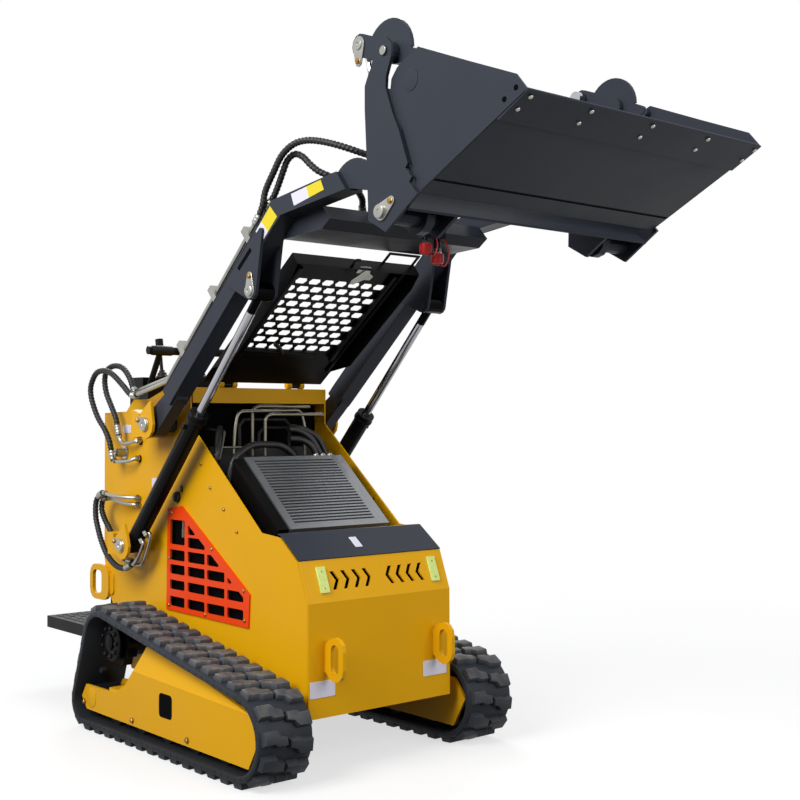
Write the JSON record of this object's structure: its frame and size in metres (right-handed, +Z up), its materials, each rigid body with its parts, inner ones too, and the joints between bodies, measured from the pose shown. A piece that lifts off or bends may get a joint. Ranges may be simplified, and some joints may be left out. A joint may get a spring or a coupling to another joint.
{
  "type": "mini skid steer loader",
  "caption": "Compact tracked stand-on loader with raised lift arms, open vented engine hood and a hinged combination bucket with opening front shell.",
  "frame": {"origin": "centre of the bounding box on the ground under the tracks", "axes": "+Z up, front of the machine faces -Y, its right side is -X"},
  "size_m": [1.06, 3.0454, 2.202],
  "materials": {
    "yellow": "satin yellow paint",
    "slate": "satin slate grey paint",
    "black": "satin black paint",
    "orange": "satin orange paint",
    "track_rubber": "moulded black rubber",
    "hose_rubber": "black hose cover",
    "chrome": "polished chrome rod",
    "zinc": "zinc plated steel",
    "aluminium": "bare aluminium fins",
    "red": "red plastic dust cap",
    "iron": "dark painted cast iron"
  },
  "bodies": {
    "chassis": {"front_panel": "yellow", "front_cover_plate": "slate", "left_side_panel": "yellow", "right_side_panel": "yellow", "left_vent_guard": "orange", "right_vent_guard": "orange", "top_crossbar": "yellow", "rear_deck": "yellow", "rear_panel": "yellow", "belly_frame": "black", "radiator": "aluminium", "fan_shroud": "black", "engine": "iron", "left_arm_ear": "yellow", "right_arm_ear": "yellow", "left_cylinder_ear": "yellow", "right_cylinder_ear": "yellow", "operator_platform": "black", "control_console": "black", "left_track": "track_rubber", "right_track": "track_rubber", "left_track_frame": "yellow", "right_track_frame": "yellow", "left_sprocket": "black", "right_sprocket": "black", "rear_hose_outer": "hose_rubber", "rear_hose_middle": "hose_rubber", "right_lower_hose_outer": "hose_rubber", "right_lower_hose_inner": "hose_rubber", "left_lower_hose_outer": "hose_rubber", "left_lower_hose_inner": "hose_rubber", "service_port": "zinc"},
    "arms": {"lift_arms": "slate", "auxiliary_coupler": "slate", "coupler_caps": "red", "arm_pipes": "zinc", "arm_hose_long": "hose_rubber", "arm_hose_short": "hose_rubber"},
    "bucket": {"bucket_shell": "slate"},
    "clam": {"clam_shell": "slate", "cutting_edge": "slate"},
    "hood_lid": {"hood": "black", "hood_latch": "zinc"},
    "right_lift_cylinder": {"right_lift_barrel": "black"},
    "right_lift_piston": {"right_lift_rod": "chrome"},
    "right_clam_cylinder": {"right_clam_barrel": "black"},
    "right_clam_piston": {"right_clam_rod": "chrome"},
    "left_lift_cylinder": {"left_lift_barrel": "black"},
    "left_lift_piston": {"left_lift_rod": "chrome"},
    "left_clam_cylinder": {"left_clam_barrel": "black"},
    "left_clam_piston": {"left_clam_rod": "chrome"},
    "tilt_cylinder": {"tilt_barrel": "black"},
    "tilt_piston": {"tilt_rod": "chrome"}
  },
  "joints": [
    {"name": "lift_arm", "type": "hinge", "parent": "chassis", "child": "arms", "pos_m": [0, 0.405, 1.104], "axis": [-1, 0, 0], "range_deg": [-60, 0]},
    {"name": "bucket_tilt", "type": "hinge", "parent": "arms", "child": "bucket", "pos_m": [0, -1.003, 1.675], "axis": [-1, 0, 0], "range_deg": [-50, 33]},
    {"name": "clam_open", "type": "hinge", "parent": "bucket", "child": "clam", "pos_m": [0, -1.012, 2.105], "axis": [-1, 0, 0], "range_deg": [0, 50]},
    {"name": "hood_open", "type": "hinge", "parent": "chassis", "child": "hood_lid", "pos_m": [0, 0.283, 1.247], "axis": [-1, 0, 0], "range_deg": [-78, 0]},
    {"name": "right_lift_swing", "type": "hinge", "parent": "chassis", "child": "right_lift_cylinder", "pos_m": [-0.365, 0.576, 0.662], "axis": [-1, 0, 0], "range_deg": [-39.88, 0]},
    {"name": "right_lift_stroke", "type": "slide", "parent": "right_lift_cylinder", "child": "right_lift_piston", "axis": [0, -0.6884, 0.7253], "range_m": [-0.3041, 0]},
    {"name": "left_lift_swing", "type": "hinge", "parent": "chassis", "child": "left_lift_cylinder", "pos_m": [0.365, 0.576, 0.662], "axis": [-1, 0, 0], "range_deg": [-39.88, 0]},
    {"name": "left_lift_stroke", "type": "slide", "parent": "left_lift_cylinder", "child": "left_lift_piston", "axis": [0, -0.6884, 0.7253], "range_m": [-0.3041, 0]},
    {"name": "tilt_swing", "type": "hinge", "parent": "arms", "child": "tilt_cylinder", "pos_m": [0, -0.42, 1.815], "axis": [-1, 0, 0], "range_deg": [-3.02, 4.55]},
    {"name": "tilt_stroke", "type": "slide", "parent": "tilt_cylinder", "child": "tilt_piston", "axis": [0, -0.9996, -0.0294], "range_m": [-0.06644, 0.10056]},
    {"name": "right_clam_swing", "type": "hinge", "parent": "bucket", "child": "right_clam_cylinder", "pos_m": [-0.44, -0.972, 1.782], "axis": [-1, 0, 0], "range_deg": [0, 6.81]},
    {"name": "right_clam_stroke", "type": "slide", "parent": "right_clam_cylinder", "child": "right_clam_piston", "axis": [0, 0.2666, 0.9638], "range_m": [-0.12473, 0]},
    {"name": "left_clam_swing", "type": "hinge", "parent": "bucket", "child": "left_clam_cylinder", "pos_m": [0.44, -0.972, 1.782], "axis": [-1, 0, 0], "range_deg": [0, 6.81]},
    {"name": "left_clam_stroke", "type": "slide", "parent": "left_clam_cylinder", "child": "left_clam_piston", "axis": [0, 0.2666, 0.9638], "range_m": [-0.12473, 0]}
  ],
  "couplings": [
    {"joint": "right_lift_swing", "follows": "lift_arm", "ratio": 0.6638},
    {"joint": "right_lift_stroke", "follows": "lift_arm", "m_per_rad": 0.2902},
    {"joint": "left_lift_swing", "follows": "lift_arm", "ratio": 0.6638},
    {"joint": "left_lift_stroke", "follows": "lift_arm", "m_per_rad": 0.2902},
    {"joint": "tilt_swing", "follows": "bucket_tilt", "ratio": -0.09},
    {"joint": "tilt_stroke", "follows": "bucket_tilt", "m_per_rad": -0.115},
    {"joint": "right_clam_swing", "follows": "clam_open", "ratio": 0.1352},
    {"joint": "right_clam_stroke", "follows": "clam_open", "m_per_rad": -0.1427},
    {"joint": "left_clam_swing", "follows": "clam_open", "ratio": 0.1352},
    {"joint": "left_clam_stroke", "follows": "clam_open", "m_per_rad": -0.1427}
  ]
}
